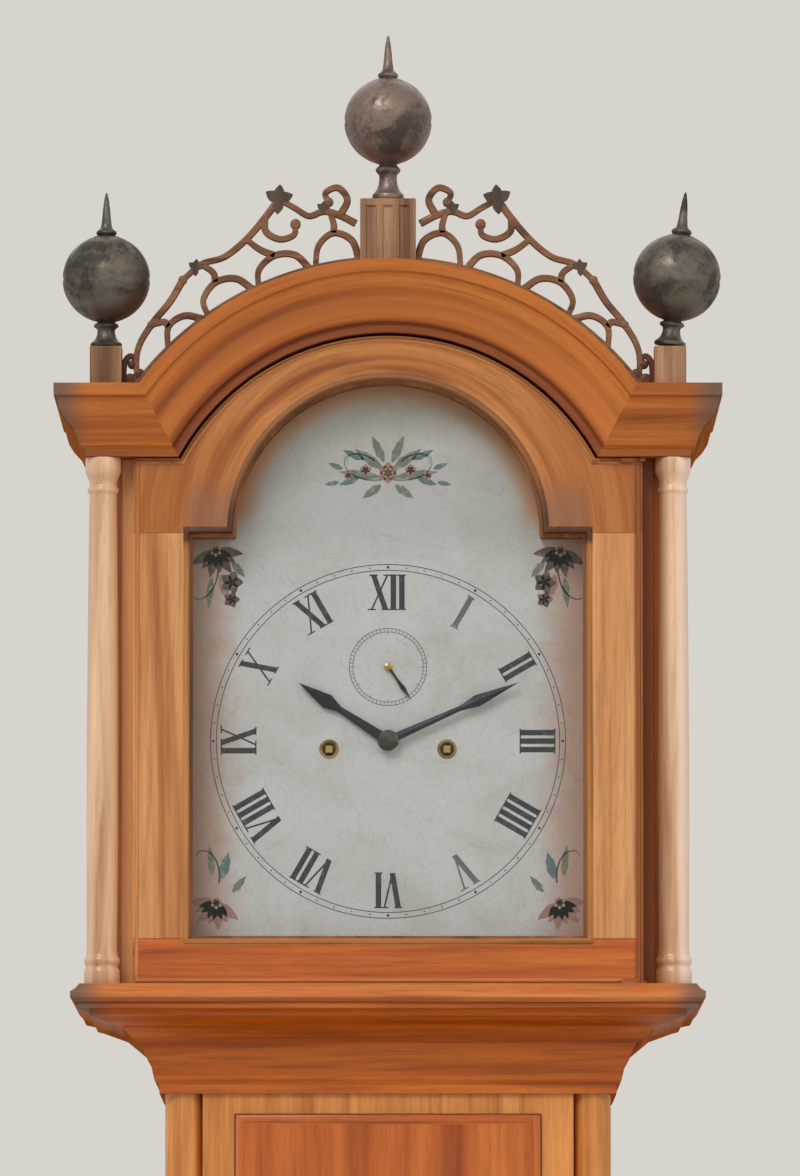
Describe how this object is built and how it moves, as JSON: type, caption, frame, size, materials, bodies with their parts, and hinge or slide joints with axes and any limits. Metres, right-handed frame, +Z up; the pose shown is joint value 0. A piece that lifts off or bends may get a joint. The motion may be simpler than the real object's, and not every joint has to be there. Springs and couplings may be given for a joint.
{
  "type": "tall case clock",
  "caption": "Tall case clock with an arched hood, pierced frets, ball finials, slender colonettes, a painted dial, a waist door and a weight-driven movement with a pendulum.",
  "frame": {"origin": "centre of the outline on the floor", "axes": "+Z up, -Y towards the front where the dial faces, +Y towards the wall, +X to the right seen from the front"},
  "size_m": [0.501, 0.254, 2.3374],
  "materials": {
    "cherry_wood": "warm varnished cherry with a satin gloss",
    "dark_cherry": "darker varnished mouldings",
    "pale_maple": "pale turned wood under varnish",
    "pine_board": "unfinished secondary wood, darkened by age",
    "aged_brass": "turned brass with a dark grey-green patina",
    "brass": "satin brass",
    "blued_steel": "dark blued steel",
    "painted_dial": "off-white painted iron with fine crackle",
    "window_glass": "old clear glass, slightly wavy",
    "gut_line": "twisted gut"
  },
  "bodies": {
    "case": {"waist_side_left": "cherry_wood", "waist_side_right": "cherry_wood", "waist_frame": "cherry_wood", "base_front": "cherry_wood", "base_side_left": "cherry_wood", "base_side_right": "cherry_wood", "foot_front_left": "cherry_wood", "foot_front_right": "cherry_wood", "foot_rear_left": "cherry_wood", "foot_rear_right": "cherry_wood", "plinth_moulding": "dark_cherry", "base_moulding": "dark_cherry", "throat_moulding": "dark_cherry", "backboard": "pine_board", "seatboard": "pine_board", "front_plate": "brass", "back_plate": "brass", "bell": "brass", "dial": "painted_dial", "going_barrel_line": "gut_line", "going_hook_line": "gut_line", "strike_barrel_line": "gut_line", "strike_hook_line": "gut_line"},
    "hood": {"hood_base_frame": "dark_cherry", "hood_side_left": "cherry_wood", "hood_side_right": "cherry_wood", "hood_roof": "cherry_wood", "dial_mask": "dark_cherry", "cornice": "dark_cherry", "colonette_left": "pale_maple", "colonette_right": "pale_maple", "side_plinth_left": "cherry_wood", "side_plinth_right": "cherry_wood", "centre_plinth": "cherry_wood", "side_finial_left": "aged_brass", "side_finial_right": "aged_brass", "centre_finial": "aged_brass", "fret_left": "cherry_wood", "fret_right": "cherry_wood"},
    "hood_door": {"hood_door_frame": "cherry_wood", "hood_door_glass": "window_glass"},
    "waist_door": {"waist_door": "cherry_wood"},
    "waist_latch": {"waist_door_latch": "brass"},
    "minute_hand_arbor": {"minute_hand": "blued_steel"},
    "minute_wheel_arbor": {"minute_wheel": "brass"},
    "hour_hand_pipe": {"hour_hand": "blued_steel"},
    "centre_arbor": {"centre_wheel": "brass"},
    "great_wheel_body": {"great_wheel": "brass"},
    "third_arbor": {"third_wheel": "brass"},
    "escape_arbor": {"escape_wheel": "brass"},
    "going_barrel_arbor": {"going_barrel": "brass"},
    "strike_barrel_arbor": {"strike_barrel": "brass"},
    "strike_wheel_body": {"strike_great_wheel": "brass"},
    "hammer": {"bell_hammer": "blued_steel"},
    "pendulum_body": {"pendulum": "brass"},
    "anchor_arbor": {"anchor": "blued_steel"},
    "going_weight_body": {"going_weight": "brass"},
    "strike_weight_body": {"strike_weight": "brass"},
    "going_pulley_body": {"going_pulley": "brass"},
    "strike_pulley_body": {"strike_pulley": "brass"}
  },
  "joints": [
    {"name": "hood_slide", "type": "slide", "parent": "case", "child": "hood", "axis": [0, -1, 0], "range_m": [0, 0.26]},
    {"name": "hood_door_hinge", "type": "hinge", "parent": "hood", "child": "hood_door", "pos_m": [0.191, -0.098, 1.81], "axis": [0, 0, 1], "range_deg": [0, 100]},
    {"name": "waist_door_hinge", "type": "hinge", "parent": "case", "child": "waist_door", "pos_m": [0.1149, -0.0598, 1.0887], "axis": [0, 0, 1], "range_deg": [0, 110]},
    {"name": "waist_latch_turn", "type": "hinge", "parent": "waist_door", "child": "waist_latch", "pos_m": [-0.1005, -0.05, 1.1922], "axis": [0, -1, 0], "range_deg": [0, 90]},
    {"name": "centre_arbor_turn", "type": "hinge", "parent": "case", "child": "centre_arbor", "pos_m": [0, 0, 1.806], "axis": [0, 1, 0], "continuous": true},
    {"name": "minute_hand_turn", "type": "hinge", "parent": "case", "child": "minute_hand_arbor", "pos_m": [0, -0.06, 1.806], "axis": [0, 1, 0], "continuous": true},
    {"name": "minute_wheel_turn", "type": "hinge", "parent": "case", "child": "minute_wheel_arbor", "pos_m": [-0.02291, -0.03, 1.78309], "axis": [0, 1, 0], "continuous": true},
    {"name": "hour_hand_turn", "type": "hinge", "parent": "case", "child": "hour_hand_pipe", "pos_m": [0, -0.06, 1.806], "axis": [0, 1, 0], "continuous": true},
    {"name": "great_wheel_turn", "type": "hinge", "parent": "case", "child": "great_wheel_body", "pos_m": [0.0444, 0, 1.8], "axis": [0, 1, 0], "continuous": true},
    {"name": "third_wheel_turn", "type": "hinge", "parent": "case", "child": "third_arbor", "pos_m": [-0.0092, 0, 1.83518], "axis": [0, 1, 0], "continuous": true},
    {"name": "escape_wheel_turn", "type": "hinge", "parent": "case", "child": "escape_arbor", "pos_m": [0, 0, 1.862], "axis": [0, 1, 0], "continuous": true},
    {"name": "pendulum_swing", "type": "hinge", "parent": "case", "child": "pendulum_body", "pos_m": [0, 0.0593, 1.895], "axis": [0, 1, 0], "range_deg": [-2.5, 2.5]},
    {"name": "anchor_swing", "type": "hinge", "parent": "case", "child": "anchor_arbor", "pos_m": [0, 0.03, 1.895], "axis": [0, 1, 0], "range_deg": [-2.5, 2.5]},
    {"name": "going_weight_travel", "type": "slide", "parent": "case", "child": "going_weight_body", "axis": [0, 0, 1], "range_m": [0, 1.05], "deforming": ["going_barrel_line", "going_hook_line"]},
    {"name": "going_barrel_turn", "type": "hinge", "parent": "case", "child": "going_barrel_arbor", "pos_m": [0.0444, 0, 1.8], "axis": [0, 1, 0], "range_deg": [0, 5259.2]},
    {"name": "going_pulley_turn", "type": "hinge", "parent": "going_weight_body", "child": "going_pulley_body", "pos_m": [0.0399, 0, 0.371], "axis": [0, 1, 0], "range_deg": [0, 3274.6]},
    {"name": "strike_weight_travel", "type": "slide", "parent": "case", "child": "strike_weight_body", "axis": [0, 0, 1], "range_m": [0, 1.05], "deforming": ["strike_barrel_line", "strike_hook_line"]},
    {"name": "strike_barrel_turn", "type": "hinge", "parent": "case", "child": "strike_barrel_arbor", "pos_m": [-0.0444, 0, 1.8], "axis": [0, 1, 0], "range_deg": [0, 5259.2]},
    {"name": "strike_pulley_turn", "type": "hinge", "parent": "strike_weight_body", "child": "strike_pulley_body", "pos_m": [-0.0489, 0, 0.371], "axis": [0, 1, 0], "range_deg": [0, 3274.6]},
    {"name": "strike_wheel_turn", "type": "hinge", "parent": "case", "child": "strike_wheel_body", "pos_m": [-0.0444, 0, 1.8], "axis": [0, 1, 0], "continuous": true},
    {"name": "hammer_lift", "type": "hinge", "parent": "case", "child": "hammer", "pos_m": [-0.056, 0.008, 1.876], "axis": [0, -1, 0], "range_deg": [0, 15], "stiffness_Nm_per_rad": 0.01, "springref_deg": -11.46}
  ],
  "couplings": [
    {"joint": "minute_hand_turn", "follows": "centre_arbor_turn", "ratio": 1},
    {"joint": "minute_wheel_turn", "follows": "centre_arbor_turn", "ratio": -1},
    {"joint": "hour_hand_turn", "follows": "centre_arbor_turn", "ratio": 0.083333},
    {"joint": "great_wheel_turn", "follows": "centre_arbor_turn", "ratio": -0.083333},
    {"joint": "third_wheel_turn", "follows": "centre_arbor_turn", "ratio": -7.5},
    {"joint": "escape_wheel_turn", "follows": "centre_arbor_turn", "ratio": 60},
    {"joint": "anchor_swing", "follows": "pendulum_swing", "ratio": 1},
    {"joint": "going_barrel_turn", "follows": "going_weight_travel", "rad_per_m": 87.336},
    {"joint": "going_pulley_turn", "follows": "going_weight_travel", "rad_per_m": 54.348},
    {"joint": "strike_barrel_turn", "follows": "strike_weight_travel", "rad_per_m": 87.336},
    {"joint": "strike_pulley_turn", "follows": "strike_weight_travel", "rad_per_m": 54.348}
  ]
}
